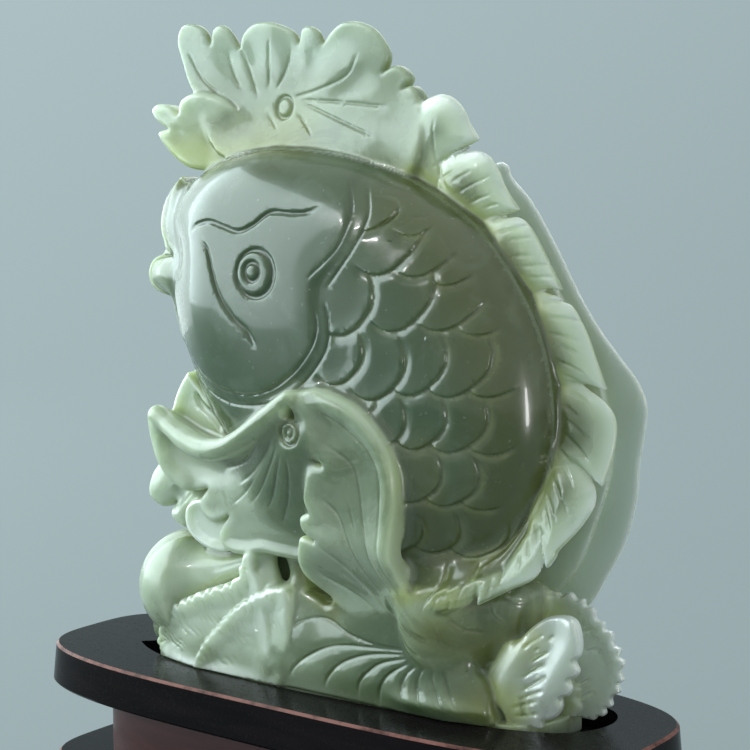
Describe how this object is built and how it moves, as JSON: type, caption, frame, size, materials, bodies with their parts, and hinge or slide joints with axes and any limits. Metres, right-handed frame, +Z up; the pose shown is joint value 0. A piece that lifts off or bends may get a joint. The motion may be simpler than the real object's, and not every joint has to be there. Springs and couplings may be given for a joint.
{
  "type": "jade figurine",
  "caption": "Carved jade fish among lotus leaves, standing in a socket in a two-tier oval lacquered wood stand; the stone lifts out.",
  "frame": {"origin": "centre of the stand's underside, at the table", "axes": "+X along the stand's long side, -Y towards the viewing side, +Z up"},
  "size_m": [0.2555, 0.0898, 0.2965],
  "materials": {
    "jade": "polished",
    "black_lacquer": "gloss lacquer",
    "lower_black_lacquer": "gloss lacquer",
    "red_lacquer": "satin lacquer",
    "black_felt": "felt",
    "beech": "raw",
    "screw_steel": "zinc plated",
    "green_felt": "felt"
  },
  "bodies": {
    "stand": {"top_board": "black_lacquer", "waist_ring": "red_lacquer", "lower_board": "lower_black_lacquer", "socket_felt": "black_felt", "top_dowels": "beech", "base_screws": "screw_steel", "base_felt": "green_felt"},
    "carving": {"jade_carving": "jade"}
  },
  "joints": [
    {"name": "carving_lift", "type": "slide", "parent": "stand", "child": "carving", "axis": [0, 0, 1], "range_m": [0, 0.05]}
  ]
}
